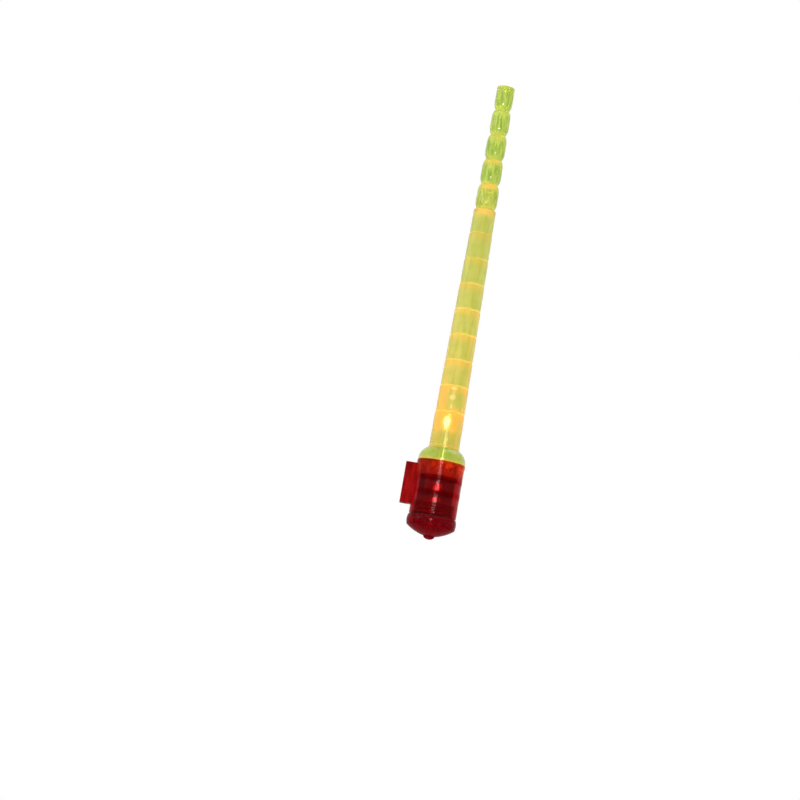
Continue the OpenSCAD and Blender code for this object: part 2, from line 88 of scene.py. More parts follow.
# The housing
HOUSING_R, BORE_R, BOARD_BORE_R, REBATE_R = 8.35, 6.0, 6.55, 7.65
RIM_R, RIM_TOP, RIM_FOOT, RIM_SLOPE = 8.5, -0.35, -1.6, 0.15
BOARD_FLOOR = -6.4
HOUSING_END = (HOUSING_LOW.z - TOP_Z) / MM
SLOT_R, SLOT_DEPTH, SLOT_WIDTH, SLOT_SPARE = 5.95, 1.0, 2.2, 0.6

# The clip, from the axis of its grip
CLIP_LEN, CLIP_EASE = 14.5, 0.08
JAW_R, JAW_REACH, GRIP_R = 2.2, 1.59, 1.0
MOUTH, FLARE = 1.3, 2.4
WEB_FOOT, WEB_X = (3.2, 3.0), 2.35

# The thread between the housing and its cap
HOUSING_THREAD_R, CAP_THREAD_R = 6.85, 6.75
THREAD_TOP, THREAD_LEAD = -14.7, 0.3
THREAD_PITCH, THREAD_DEPTH, THREAD_FADE = 1.0, 0.3, 0.5
THREAD_ROWS = 10

# The cap
CAP_SPIGOT_TOP, CAP_THREAD_DROP, CAP_THREAD_FOOT = -15.05, 0.15, 0.9
CAP_BORE_R, CAP_FLOOR = 6.3, -22.95
SEAL_SEAT_R, SEAL_SEAT_DEPTH = 7.95, 1.04
CAP_GAP, CAP_LIP_R, CAP_LIP_END, CAP_LIP_BULGE = 0.3, 8.45, -23.4, 0.29
CONE_BULGE, NUB_R, NUB_TOP = 0.4, 2.0, -26.45
CAP_END = (CAP_LOW.z - TOP_Z) / MM

# Inside: the core of the lamp with its reflector cup, the spring, the cells and the board
CORE_CUP = [(0, 10.8, 0), (0.4, 10.8, 0.1), (0.65, 11.6, 0.1), (0.5, 11.7, 0.05), (0.25, 11.9, 0.1)]
CORE_NECK, CORE_SHIFT, CORE_STEPS = (0.4, 12.6), -0.4, 48
DROP_R, DROP_FOOT, DROP_TIP_R, DROP_TOP = 0.75, 14.2, 0.1, 15.9
WIRE_R, COILS, COIL_STEPS = 0.25, 4, 32
SPRING_FOOT, SPRING_HEAD = -22.7, -18.12
SPRING_FOOT_R, SPRING_HEAD_R = 4.6, 2.4
CELLS_TOP, CELL_H = -7.3, 5.4
BOARD_R = (BOARD_HIGH.y - BOARD_LOW.y) / 2 / MM

# Camera, lights and floor
CAMERA_PLACE = (0.0144, -0.66168, -0.0754)
CAMERA_YAW, CAMERA_TILT, CAMERA_ROLL = math.radians(1.902), math.radians(98.908), math.radians(10.05)
LENS, SENSOR = 85.5, 36
LIT_MIDDLE = (AXIS_X, 0, 0.06)
LIGHTS = [
    ("flash", (0.007, -0.66, 0.06), 0.2, 3.6),
    ("left_soft", (-0.9, -0.5, 0.5), 0.8, 4.0),
    ("top_soft", (0.3, 0.2, 1.1), 0.9, 5.0),
]
FLOOR_SIZE, FLOOR_Z = 2, -0.25
ROOM_FILL = 0.55


# Shapes

def arc(start, end, bulge, steps):
    """Points from start to end on an arc that bulges to the left of the way."""
    start, end = Vector(start), Vector(end)
    chord = end - start
    half = chord.length / 2
    radius = (half * half + bulge * bulge) / (2 * bulge)
    left = Vector((-chord.y, chord.x)).normalized()
    centre = (start + end) / 2 - left * (radius - bulge)
    first = math.atan2(start.y - centre.y, start.x - centre.x)
    sweep = -2 * math.asin(half / radius)
    angles = [first + sweep * i / steps for i in range(steps + 1)]
    return [(centre.x + radius * math.cos(a), centre.y + radius * math.sin(a)) for a in angles]


def shoulder(side, end, steps):
    """Points of a quarter of an ellipse, from an upright side to a level end."""
    angles = [math.pi / 2 * i / steps for i in range(steps + 1)]
    return [(end[0] + (side[0] - end[0]) * math.cos(a), side[1] + (end[1] - side[1]) * math.sin(a))
            for a in angles]


def round_bend(radius, first, last, steps):
    """Points on a circle round the origin, from one angle to another."""
    angles = [first + (last - first) * i / steps for i in range(steps + 1)]
    return [(radius * math.cos(a), radius * math.sin(a)) for a in angles]


def eased(corners, steps=3):
    """Outline through (x, y, easing) corners, each rounded off between two holding points."""
    outline = []
    for before, here, after in zip([corners[0]] + corners, corners, corners[1:] + [corners[-1]]):
        corner = Vector(here[:2])
        back, ahead = Vector(before[:2]) - corner, Vector(after[:2]) - corner
        if here[2] == 0 or back.length == 0 or ahead.length == 0:
            outline.append(tuple(corner))
            continue
        p = back.normalized() * min(here[2], EASE_SHARE * back.length)
        q = ahead.normalized() * min(here[2], EASE_SHARE * ahead.length)
        outline.append(tuple(corner + p * HOLD))
        for i in range(steps + 1):
            t = i / steps
            outline.append(tuple(corner + p * (1 - t) ** 2 + q * t ** 2))
        outline.append(tuple(corner + q * HOLD))
    return outline


def plain(points):
    """Corners with no easing."""
    return [(x, y, 0) for x, y in points]


def begin(name, add, **where):
    """Adds a primitive with nothing else selected, and opens it in edit mode."""
    bpy.ops.object.select_all(action="DESELECT")
    add(**where)
    piece = bpy.context.object
    piece.name = name
    piece.data.name = name
    bpy.ops.object.mode_set(mode="EDIT")
    bpy.ops.mesh.select_all(action="SELECT")
    return piece


def draw(name, points):
    """Draws a line through points by extruding a single vertex from one to the next."""
    piece = begin(name, bpy.ops.mesh.primitive_plane_add, size=MM)
    bpy.ops.mesh.merge(type="CENTER")
    bpy.ops.transform.translate(value=points[0])
    for here, following in zip(points, points[1:]):
        step = Vector(following) - Vector(here)
        bpy.ops.mesh.extrude_region_move(TRANSFORM_OT_translate={"value": step})
    bpy.ops.mesh.select_all(action="SELECT")
    return piece


def weld():
    """Merges doubles and turns the faces outwards."""
    bpy.ops.mesh.select_all(action="SELECT")
    bpy.ops.mesh.remove_doubles(threshold=WELD)
    bpy.ops.mesh.normals_make_consistent(inside=False)


def settle(piece):
    """Leaves edit mode with the piece's place in its mesh and its edges softened."""
    if piece.mode == "EDIT":
        bpy.ops.object.mode_set(mode="OBJECT")
    bpy.ops.object.select_all(action="DESELECT")
    piece.select_set(True)
    bpy.context.view_layer.objects.active = piece
    bpy.ops.object.transform_apply(location=True, rotation=True, scale=True)
    bpy.ops.object.shade_smooth_by_angle(angle=SOFT_EDGE)
    return piece


def turned(name, outline, steps=TURN_STEPS):
    """Spins an outline round the axis of the housing."""
    points = [(AXIS_X + r * MM, 0, TOP_Z + z * MM) for r, z in outline]
    piece = draw(name, points)
    bpy.ops.mesh.spin(steps=steps, angle=math.tau, center=(AXIS_X, 0, 0), axis=(0, 0, 1))
    weld()
    bpy.ops.object.mode_set(mode="OBJECT")
    return piece


def combine(piece, tool, operation):
    """Joins a tool to a piece or cuts it out of it, and deletes the tool."""
    bpy.context.view_layer.objects.active = piece
    cut = piece.modifiers.new(operation, "BOOLEAN")
    cut.operation = operation
    cut.solver = "EXACT"
    cut.object = tool
    bpy.ops.object.modifier_apply(modifier=cut.name)
    bpy.data.objects.remove(tool)


def cut_thread(piece, base_r, low, high):
    """Raises a right-hand thread on the wall of radius base_r between two heights."""
    for vertex in piece.data.vertices:
        x, y = (vertex.co.x - AXIS_X) / MM, vertex.co.y / MM
        z = (vertex.co.z - TOP_Z) / MM
        if abs(math.hypot(x, y) - base_r) > ON_WALL or not low < z < high:
            continue
        turn = math.atan2(y, x) / math.tau
        wave = (1 + math.cos(math.tau * (z / THREAD_PITCH - turn))) / 2
        ends = min((z - low) / THREAD_FADE, (high - z) / THREAD_FADE, 1)
        grow = 1 + THREAD_DEPTH * wave * ends / base_r
        vertex.co.x = AXIS_X + x * grow * MM
        vertex.co.y = y * grow * MM


def thread_rows(radius, low, high):
    """Points up a wall, close enough together to take the thread."""
    count = math.ceil((high - low) / THREAD_PITCH * THREAD_ROWS)
    return [(radius, low + (high - low) * i / count) for i in range(count + 1)]


# Pieces

def segment_r(k):
    """Radius of a ring or bead, counted from the skirt."""
    if k > RINGS:
        return BEAD_R + (TIP_R - BEAD_R) * (k - RINGS - 1) / (BEADS - 1)
    return NECK_R + (TUBE_TOP_R - NECK_R) * k / RINGS


def segment_foot_r(k):
    """Radius in the groove under a ring or bead, or on top of the tip after the last one."""
    if k == RINGS + 1 + BEADS:
        return TIP_R - TIP_ROUND
    return segment_r(k) - (BEAD_GROOVE if k > RINGS else RING_GROOVE)


def segment_outline(k):
    """Outline of one ring of the tube or one bead, counted from the skirt."""
    low = SKIRT_H if k == 0 else FIRST_RING + (k - 1) * PITCH
    high = min(FIRST_RING + k * PITCH, STICK_H)
    foot_h, head_h = (BEAD_FOOT, BEAD_HEAD) if k > RINGS else (RING_FOOT, RING_HEAD)
    if high == STICK_H:
        head_h = TIP_ROUND
    radius = segment_r(k)
    head = shoulder((radius - DRAFT, high - head_h), (segment_foot_r(k + 1), high), 10)
    foot = [(segment_foot_r(k), low, GROOVE_EASE), (radius, low + foot_h, FOOT_EASE * foot_h)]
    return eased(foot + plain(point for point in head if point[1] < high - HEAD_GAP))


def make_stick():
    spigot = eased([
        (CAVITY_R, -SPIGOT_H, 0.2),
        (SPIGOT_R, -SPIGOT_H, 0.2),
        (SPIGOT_R, 0, 0),
        (LIP_IN_R, 0, 0),
        (LIP_IN_R, -LIP_DROP, 0.1),
        (LIP_R, -LIP_DROP, 0.15),
        (LIP_R, LIP_RISE, 0.2),
    ])
    skirt = arc((COLLAR_R, COLLAR_Z), (LIP_R, LIP_RISE), SKIRT_BULGE, 16)[::-1]
    collar = eased([
        skirt[-1] + (0,),
        (COLLAR_R, SKIRT_H - COLLAR_EDGE, 0.2),
        (segment_foot_r(0), SKIRT_H, 0),
    ])
    rings = [point for k in range(RINGS + 1 + BEADS) for point in segment_outline(k)]
    tip = [(segment_foot_r(RINGS + 1 + BEADS), STICK_H), (0, STICK_H)]
    hollow = shoulder((BORE_TIP_R, BORE_TOP - BORE_TIP_R), (0, BORE_TOP), 8)[::-1]
    bore = eased([
        hollow[-1] + (0,),
        BORE_FOOT + (BORE_EASE,),
        (CAVITY_R, CAVITY_TOP, BORE_EASE),
        (CAVITY_R, -SPIGOT_H, 0),
    ])
    outline = spigot[:-1] + skirt + collar[1:-1] + rings + tip + hollow + bore[1:-1]
    outline.append(outline[0])
    return settle(turned("light_stick_glow", outline))


def make_clip():
    """The clip: a round grip on a web that runs into the wall of the housing."""
    throat = math.pi - math.asin(MOUTH / 2 / GRIP_R)
    back = round_bend(JAW_R, math.pi / 2, math.acos(-JAW_REACH / JAW_R), 8)
    grip = round_bend(GRIP_R, throat, 0, 20)[:-1]
    half = eased(
        [WEB_FOOT + (0,), (WEB_X, JAW_R, 0.5)] + plain(back[:-1]) + [back[-1] + (0.2,)]
        + [(-JAW_REACH, FLARE / 2, 0.2), grip[0] + (0.1,)] + plain(grip[1:])
    )
    section = half + [(GRIP_R, 0)] + [(x, -y) for x, y in reversed(half)]
    piece = draw("clip", [(x * MM, y * MM, -CLIP_LEN / 2 * MM) for x, y in section + section[:1]])
    bpy.ops.mesh.remove_doubles(threshold=WELD)
    bpy.ops.mesh.edge_face_add()
    bpy.ops.mesh.extrude_region_move(TRANSFORM_OT_translate={"value": (0, 0, CLIP_LEN * MM)})
    bpy.ops.mesh.select_all(action="SELECT")
    bpy.ops.mesh.normals_make_consistent(inside=False)
    # Only the edges of the two ends are bevelled
    bpy.ops.mesh.select_mode(type="EDGE")
    bpy.ops.mesh.select_all(action="DESELECT")
    bpy.ops.object.mode_set(mode="OBJECT")
    for edge in piece.data.edges:
        ends = [piece.data.vertices[i].co.z for i in edge.vertices]
        edge.select = abs(ends[0] - ends[1]) < WELD
    bpy.ops.object.mode_set(mode="EDIT")
    bpy.ops.mesh.bevel(offset=CLIP_EASE * MM, segments=2, affect="EDGES")
    bpy.ops.mesh.select_mode(type="VERT")
    bpy.ops.object.mode_set(mode="OBJECT")
    return piece


def make_strip_slot():
    """Cutter for the slot that holds the contact strip in the wall of the housing."""
    middle = (STRIP_LOW + STRIP_HIGH) / 2
    angle = math.atan2(middle.y, middle.x - AXIS_X)
    out = Vector((math.cos(angle), math.sin(angle), 0))
    centre = Vector((AXIS_X, 0, middle.z)) + out * SLOT_R * MM
    height = STRIP_HIGH.z - STRIP_LOW.z + SLOT_SPARE * MM
    piece = begin("slot", bpy.ops.mesh.primitive_cube_add, size=1)
    bpy.ops.transform.resize(value=(SLOT_DEPTH * MM, SLOT_WIDTH * MM, height))
    bpy.ops.object.mode_set(mode="OBJECT")
    piece.matrix_world = Matrix.Translation(centre) @ Matrix.Rotation(angle, 4, "Z")
    bpy.context.view_layer.update()
    return piece


def make_housing():
    bore = thread_rows(HOUSING_THREAD_R, HOUSING_END + THREAD_LEAD, THREAD_TOP)
    outline = eased([
        (BOARD_BORE_R, 0, 0.1),
        (REBATE_R, 0, 0.1),
        (REBATE_R, RIM_TOP, 0),
        (RIM_R, RIM_TOP, 0.12),
        (RIM_R, RIM_FOOT, 0.1),
        (HOUSING_R, RIM_FOOT - RIM_SLOPE, 0.1),
        (HOUSING_R, HOUSING_END, 0.3),
        (HOUSING_THREAD_R, HOUSING_END, 0.2),
    ] + plain(bore) + [
        (BORE_R, THREAD_TOP, 0.1),
        (BORE_R, BOARD_FLOOR, 0.1),
        (BOARD_BORE_R, BOARD_FLOOR, 0),
        (BOARD_BORE_R, 0, 0),
    ])
    outline[-1] = outline[0]
    piece = turned("battery_housing_red", outline)
    cut_thread(piece, HOUSING_THREAD_R, HOUSING_END + THREAD_PITCH, THREAD_TOP)
    combine(piece, make_clip(), "UNION")
    combine(piece, make_strip_slot(), "DIFFERENCE")
    return settle(piece)


def paint_clip(piece, finish):
    """Gives the faces that stand out from the round wall of the housing their own finish."""
    piece.data.materials.append(finish)
    for face in piece.data.polygons:
        x, y = (face.center.x - AXIS_X) / MM, face.center.y / MM
        below_rim = (face.center.z - TOP_Z) / MM < RIM_FOOT - RIM_SLOPE - OFF_WALL
        if below_rim and math.hypot(x, y) > HOUSING_R + OFF_WALL:
            face.material_index = 1


def make_cap():
    lip_top, seat = HOUSING_END - CAP_GAP, HOUSING_END - SEAL_SEAT_DEPTH
    thread_end = CAP_SPIGOT_TOP - CAP_THREAD_DROP
    spigot = thread_rows(CAP_THREAD_R, HOUSING_END - CAP_THREAD_FOOT, thread_end)[::-1]
    lip = arc((CAP_LIP_R, lip_top), (CAP_LIP_R, CAP_LIP_END), CAP_LIP_BULGE, 12)
    nub = shoulder((NUB_R, NUB_TOP), (0, CAP_END), 8)
    cone = arc(lip[-1], nub[0], CONE_BULGE, 12)
    outline = eased([
        (0, CAP_FLOOR, 0),
        (CAP_BORE_R, CAP_FLOOR, 0.2),
        (CAP_BORE_R, CAP_SPIGOT_TOP, 0.1),
        (CAP_THREAD_R, CAP_SPIGOT_TOP, 0.1),
    ] + plain(spigot) + [
        (CAP_THREAD_R, seat, 0.1),
        (SEAL_SEAT_R, seat, 0.1),
        (SEAL_SEAT_R, lip_top, 0.1),
        lip[0] + (0.1,),
    ] + plain(lip[1:-1]) + [
        lip[-1] + (0.25,),
    ] + plain(cone[1:-1]) + [
        nub[0] + (0.4,),
    ] + plain(nub[1:]))
    piece = turned("end_cap_red", outline)
    cut_thread(piece, CAP_THREAD_R, HOUSING_END, thread_end)
    return settle(piece)


def make_lamp_core():
    """Lit drop round the chip in the lamp, on the rim of its reflector cup."""
    drop = shoulder((DROP_R, DROP_FOOT), (DROP_TIP_R, DROP_TOP), 10)
    piece = turned("lamp_core", eased(CORE_CUP) + [CORE_NECK] + drop + [(0, DROP_TOP)], CORE_STEPS)
    bpy.ops.object.mode_set(mode="EDIT")
    bpy.ops.mesh.select_all(action="SELECT")
    bpy.ops.transform.translate(value=(CORE_SHIFT * MM, 0, 0))
    return settle(piece)


def make_spring():
    """Conical spring of round wire, drawn as a line and given its thickness as a curve."""
    rise = SPRING_HEAD - SPRING_FOOT - 4 * WIRE_R
    points = []
    for i in range(COILS * COIL_STEPS + 1):
        share = i / (COILS * COIL_STEPS)
        radius = (SPRING_FOOT_R + (SPRING_HEAD_R - SPRING_FOOT_R) * share) * MM
        angle = math.tau * COILS * share
        height = SPRING_FOOT + 2 * WIRE_R + rise * share
        points.append((AXIS_X + radius * math.cos(angle), radius * math.sin(angle), TOP_Z + height * MM))
    draw("contact_spring_wire", points)
    bpy.ops.object.mode_set(mode="OBJECT")
    bpy.ops.object.convert(target="CURVE")
    wire = bpy.context.object
    wire.data.bevel_depth = WIRE_R * MM
    wire.data.bevel_resolution = 3
    wire.data.use_fill_caps = True
    bpy.ops.object.convert(target="MESH")
    return settle(bpy.context.object)


# Finishes

class Wire:
    """An output socket on which Python maths adds Math nodes."""

    def __init__(self, sheet, socket):
        self.sheet = sheet
        self.socket = socket

    def maths(self, operation, *terms):
        return self.sheet.add("ShaderNodeMath", {"operation": operation}, dict(enumerate(terms)))

    def __add__(self, other):
        return self.maths("ADD", self, other)

    def __radd__(self, other):
        return self.maths("ADD", other, self)

    def __sub__(self, other):
        return self.maths("SUBTRACT", self, other)

    def __rsub__(self, other):
        return self.maths("SUBTRACT", other, self)

    def __mul__(self, other):
        return self.maths("MULTIPLY", self, other)

    def __rmul__(self, other):
        return self.maths("MULTIPLY", other, self)

    def __truediv__(self, other):
        return self.maths("DIVIDE", self, other)

    def __rtruediv__(self, other):
        return self.maths("DIVIDE", other, self)


class Sheet:
    """A node tree, with one method that adds any node to it."""

    def __init__(self, tree):
        self.tree = tree

    def feed(self, socket, value):
        if isinstance(value, Wire):
            self.tree.links.new(value.socket, socket)
        else:
            socket.default_value = value

    def add(self, kind, settings=None, sockets=None, out=0):
        node = self.tree.nodes.new(kind)
        for name, value in (settings or {}).items():
            setattr(node, name, value)
        for name, value in (sockets or {}).items():
            self.feed(node.inputs[name], value)
        return Wire(self, node.outputs[out])


class Finish(Sheet):
    """A material whose pattern is drawn in millimetres from the axis and the top of the housing."""

    def __init__(self, name):
        self.material = bpy.data.materials.new(name)
        self.material.use_nodes = True
        super().__init__(self.material.node_tree)
        self.shader = self.tree.nodes["Principled BSDF"]
        place = self.add("ShaderNodeTexCoord", out="Object")
        self.place = self.add("ShaderNodeMapping", {"vector_type": "POINT"}, {
            "Vector": place,
            "Location": (-AXIS_X / MM, 0, -TOP_Z / MM),
            "Scale": (1 / MM, 1 / MM, 1 / MM),
        })

    def axis(self, name):
        """How far a point lies along X, Y or Z."""
        return self.add("ShaderNodeSeparateXYZ", sockets={"Vector": self.place}, out=name)

    def stretch(self, x, y, z):
        """The place with each direction multiplied, for a pattern that is drawn out."""
        return self.add("ShaderNodeVectorMath", {"operation": "MULTIPLY"}, {0: self.place, 1: (x, y, z)})

    def noise(self, size, detail=3, vector=None):
        """Noise from 0 to 1 with lumps of about this size in millimetres."""
        return self.add("ShaderNodeTexNoise", None, {
            "Vector": self.place if vector is None else vector,
            "Scale": 1 / size,
            "Detail": detail,
        })

    def rise(self, value, low, high, bottom=0, top=1):
        """Smooth step from bottom to top as the value goes from low to high."""
        return self.add("ShaderNodeMapRange", {"interpolation_type": "SMOOTHSTEP"}, {
            "Value": value, "From Min": low, "From Max": high, "To Min": bottom, "To Max": top,
        })

    def band(self, value, low, full, fade, high):
        """1 where the value is between full and fade, falling smoothly to 0 at low and at high."""
        return self.rise(value, low, full) * self.rise(value, high, fade)

    def mix(self, share, first, second):
        return self.add("ShaderNodeMix", {"data_type": "RGBA"}, {0: share, 6: first, 7: second}, out=2)

    def bump(self, height, depth, strength=1):
        """Normal from a height of 0 to 1 that stands for this depth in millimetres."""
        return self.add("ShaderNodeBump", None, {
            "Height": height, "Distance": depth * MM, "Strength": strength,
        })

    def shade(self, **sockets):
        for name, value in sockets.items():
            self.feed(self.shader.inputs[name.replace("_", " ")], value)
        return self.material


def colour(r, g, b):
    return (r, g, b, 1)


def glow_plastic():
    """Translucent yellow-green of the stick, amber where the lamp's light leaves it."""
    f = Finish("glow_plastic")
    x, z = f.axis("X"), f.axis("Z")
    off = f.add("ShaderNodeMath", {"operation": "ABSOLUTE"}, {0: x})
    beads = f.rise(z, TUBE_TOP - 0.2, TUBE_TOP + 0.3)
    skirt = f.rise(z, SKIRT_H + 0.2, SKIRT_H - 0.8)
    tube = (1 - beads) * (1 - skirt)
    along = f.add("ShaderNodeMath", {"operation": "FRACT"}, {0: (z - FIRST_RING) / PITCH})
    streaks = f.noise(0.7, 4, f.stretch(1, 1, 0.14))
    threads = f.noise(1.2, 2, f.stretch(1, 1, 0.12))
    cloud = f.noise(2.5, 3)
    leaf = f.noise(1.3, 2)
    dull = f.noise(0.35, 2)
    # Its own colour: streaked green beads, an olive tube and a leaf-green skirt
    green = f.mix(f.rise(streaks, 0.36, 0.62), colour(0.18, 0.33, 0.035), colour(0.47, 0.54, 0.10))
    necks = f.rise(along, 0.62, 0.98) + f.rise(along, 0.2, 0.02)
    bead_colour = f.mix(necks, green, colour(0.54, 0.59, 0.095))
    pale = f.rise(0.4 * cloud + 0.6 * threads, 0.36, 0.62)
    low_olive = f.mix(pale, colour(0.50, 0.52, 0.115), colour(0.64, 0.60, 0.185))
    olive = f.mix(0.32 * f.rise(z, 45, TUBE_TOP - 5), low_olive, colour(0.40, 0.46, 0.105))
    bell = f.mix(f.rise(leaf, 0.44, 0.70), colour(0.46, 0.48, 0.095), colour(0.25, 0.50, 0.045))
    neck = f.rise(z, 12, 8.5) + f.band(z, 8.5, 12, 12, 16) * f.rise(off, 2.6, 3.8)
    side = f.band(z, 18, 20, 27, 36) * f.band(x, 0.8, 2, 3.8, 4.6)
    shade = f.mix(0.7 * side, f.mix(neck, olive, colour(0.48, 0.50, 0.12)), colour(0.42, 0.57, 0.13))
    body = f.mix(skirt, f.mix(beads, shade, bead_colour), bell)
    # Fine lines of amber light lie under each groove
    under = (1 - along) * PITCH
    line_gap = 0.36
    lines = f.add("ShaderNodeMath", {"operation": "PINGPONG"}, {0: under, 1: line_gap}) / line_gap
    ringed = f.band(z, 9, 10, TUBE_TOP - 3, TUBE_TOP - 2)
    above = f.rise(along, 0.06, 0.01)
    bands = f.rise(under, 3.4, 0.9) * (0.25 + 0.45 * f.rise(lines, 0.6, 0.2)) + 0.4 * above
    patchy = f.rise(threads, 0.38, 0.62)
    fading = f.rise(z, 92, 45, 0.45, 1)
    ring_light = bands * ringed * fading * (0.6 + 0.4 * patchy)
    # More of it shows beside the lamp, at the edges of the tube, between the lower beads and round the seam,
    # with a faint wash over the lamp and the top of the tube; all this amber is painted light
    at_lamp = f.band(z, 8.5, 12, 16, 21) * (0.08 + 0.36 * patchy)
    right_band = f.band(z, 8, 13, 15, 20) * f.band(x, 0.1, 1.4, 1.8, 3.8)
    left_band = f.band(z, 8, 14, 21, 31) * f.band(x, -5.2, -3.8, -3.2, -1.2)
    neck_glow_lines = 0.3 * f.rise(z, 10, 8.5) * tube * f.rise(lines, 0.6, 0.2)
    sides = 0.4 * f.rise(off, 2.4, 4.2) * f.rise(z, 70, 40) * tube * patchy
    collar = f.rise(z, SKIRT_H + 0.7, SKIRT_H + 0.4) * tube * (0.35 + 0.5 * patchy)
    top_ring = f.rise(z, TUBE_TOP - 3.6, TUBE_TOP - 0.4) * (1 - beads) * f.rise(off, 4.4, 2.0)
    notch = f.rise(along, 0.7, 0.97) * f.rise(z, TUBE_TOP + 4 * PITCH, TUBE_TOP) * f.rise(off, 3.2, 1.0)
    over_tube = f.rise(z, TUBE_TOP + 1.3 * PITCH, TUBE_TOP) * beads
    over_lamp = f.band(z, 10, 14, 20, 55)
    painted_glow_wash = 0.15 * (over_tube + over_lamp)
    seam_glow = f.rise(z, 0.8, 0.3) * (0.2 + 0.6 * f.rise(dull, 0.5, 0.6))
    lamp_glow = at_lamp + 0.7 * (right_band + left_band) * (0.5 + 0.5 * patchy)
    edges = sides + 0.5 * collar + top_ring * (0.5 + 0.5 * f.rise(leaf, 0.4, 0.55)) + seam_glow
    amber = f.add("ShaderNodeClamp", None, {
        0: ring_light + neck_glow_lines + notch * beads + lamp_glow + edges + painted_glow_wash,
    })
    # Two pale spots over the lamp, where its dome throws its light
    spots = 0
    for height, half in ((22.6, 1.2), (25.8, 0.8)):
        up = z - height
        spots = spots + f.rise(x * x / 2 + up * up / (half * half), 1, 0.1)
    lit = f.mix(0.6 * spots, f.mix(amber, body, colour(0.85, 0.51, 0.09)), colour(0.95, 0.85, 0.45))
    # Painted light: the grooves and the collar glow amber, over the shade under each ring
    groove = (above + f.rise(under, 0.3, 0.1)) * ringed * fading + 0.5 * collar
    sheen = f.mix(amber, colour(0.05, 0.055, 0.005), colour(0.15, 0.055, 0.006))
    glow = f.mix(groove, sheen, colour(0.40, 0.24, 0.05))
    # The spigot takes up the light that leaks down inside the housing
    leak = f.mix(f.rise(z, -6.5, -0.5), colour(0.36, 0.14, 0.006), colour(0.19, 0.18, 0.007))
    return f.shade(
        Base_Color=lit,
        Roughness=f.rise(beads + skirt, 0, 1, 0.30, 0.12) + 0.06 * dull,
        IOR=1.33,
        Specular_Tint=colour(0.3, 0.3, 0.25),
        Transmission_Weight=0.65,
        Coat_Weight=0.5 * beads + 0.45 * skirt + 0.15 * tube + 0.5 * f.rise(z, -0.3, -0.8),
        Coat_Roughness=0.06,
        Coat_IOR=1.3,
        Emission_Color=f.mix(f.rise(z, 0.2, -0.6), glow, leak),
        Emission_Strength=1.0,
        Normal=f.bump((1 - beads) * (lines * 0.3 + cloud) + beads * streaks, 0.12, 0.25),
    )


def red_plastic():
    """Clear red of the housing, with the stick's light painted warm on the top of its wall, where the stick's
    spigot shows through.
    """
    f = Finish("red_plastic")
    x, z = f.axis("X"), f.axis("Z")
    flow = f.noise(3, 4, f.stretch(1, 1, 0.3))
    fine = f.noise(0.25, 2)
    specks = f.noise(0.5, 2)
    clear = f.mix(f.rise(flow, 0.3, 0.7), colour(0.22, 0.002, 0.005), colour(0.38, 0.004, 0.007))
    # Light from the stick falls on the top of the wall in blotches
    blotches = f.rise(f.noise(2, 2), 0.37, 0.54) * f.rise(x, -5, 2, 0.35, 1)
    top = f.mix(blotches, colour(0.34, 0.010, 0.007), colour(0.83, 0.064, 0.014))
    clear_with_lit_top = f.mix(f.rise(z, -7.0, -2.0), clear, top)
    # Faint moulding lines run round the wall where the board sits
    line_gap = 0.4
    lines = f.add("ShaderNodeMath", {"operation": "PINGPONG"}, {0: z, 1: line_gap}) / line_gap
    ringed = 0.5 * f.band(z, -9, -6, -3.5, -1.5) * lines
    # The wall is polished in front of each cell, and specked below them
    by_upper_cell = f.band(z, -11.2, -10.4, -7.8, -7.2)
    by_lower_cell = f.band(z, -15.6, -15.0, -12.9, -12.3)
    specked = f.rise(z, -14.8, -15.5) * (0.25 + 0.5 * f.rise(specks, 0.42, 0.70))
    shiny = 0.04 + 0.62 * f.rise(z, -7.0, -4.5) + 0.95 * (by_upper_cell + by_lower_cell) + specked
    return f.shade(
        Base_Color=f.mix(ringed, clear_with_lit_top, colour(0.18, 0.001, 0.004)),
        Roughness=0.03 + 0.05 * fine,
        IOR=1.06,
        Specular_Tint=colour(0.25, 0.02, 0.02),
        Transmission_Weight=0.86,
        Coat_Weight=shiny,
        Coat_Roughness=0.08,
        Coat_IOR=1.12,
        Normal=f.bump(flow + 0.3 * fine, 0.06, 0.25),
    )


def clip_red():
    """The same red on the clip, too thick to see through."""
    f = Finish("clip_red")
    flow = f.noise(1.3, 4, f.stretch(1, 1, 0.15))
    fine = f.noise(0.2, 2)
    return f.shade(
        Base_Color=f.mix(f.rise(flow, 0.36, 0.64), colour(0.16, 0.003, 0.003), colour(0.32, 0.006, 0.006)),
        Roughness=0.2 + 0.06 * fine,
        IOR=1.06,
        Specular_Tint=colour(0.3, 0.04, 0.04),
        Transmission_Weight=0.3,
        Normal=f.bump(flow + 0.1 * fine, 0.06, 0.2),
    )


def cap_red():
    """The same red on the cap, clear only in the thin wall of its threaded spigot."""
    f = Finish("cap_red")
    z = f.axis("Z")
    flow = f.noise(1.3, 4, f.stretch(1, 1, 0.15))
    fine = f.noise(0.2, 2)
    specks = f.noise(0.8, 2)
    thick = f.mix(f.rise(flow, 0.36, 0.64), colour(0.16, 0.001, 0.004), colour(0.24, 0.002, 0.006))
    lip = f.rise(z, CAP_LIP_END, CAP_LIP_END + 1)
    return f.shade(
        Base_Color=f.mix(f.rise(z, HOUSING_END, HOUSING_END + 1), thick, colour(0.50, 0.010, 0.012)),
        Roughness=0.2 + 0.06 * fine,
        IOR=1.06,
        Specular_Tint=colour(0.3, 0.04, 0.04),
        Transmission_Weight=0.6,
        Coat_Weight=lip * (0.06 + 0.8 * f.rise(specks, 0.50, 0.66)),
        Coat_Roughness=0.05,
        Coat_IOR=1.22,
        Normal=f.bump(flow + 0.1 * fine + specks, 0.06, 0.2),
    )


